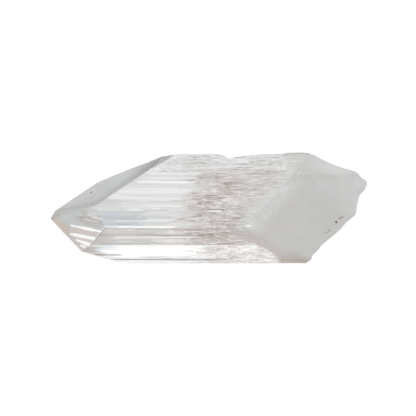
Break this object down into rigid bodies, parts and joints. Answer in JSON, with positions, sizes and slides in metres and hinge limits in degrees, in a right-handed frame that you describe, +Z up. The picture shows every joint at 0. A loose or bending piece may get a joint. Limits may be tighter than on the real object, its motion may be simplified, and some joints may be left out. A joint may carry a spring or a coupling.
{
  "type": "danburite crystal",
  "caption": "Clear, faintly pink danburite crystal lying on a broad prism face, with a chisel point at one end and a frosted oblique break at the other.",
  "frame": {"origin": "under the middle of the crystal's box, on the surface that it rests on", "axes": "+X along the crystal's length from the point towards the broken end, +Z up, out of the broad upper prism face, +Y towards its back edge"},
  "size_m": [0.0632, 0.0212, 0.0104],
  "materials": {
    "danburite": "glassy on the striated prism faces, satin on the point, milky and frosted on the broken end"
  },
  "bodies": {
    "root": {"danburite_crystal": "danburite"}
  },
  "joints": []
}
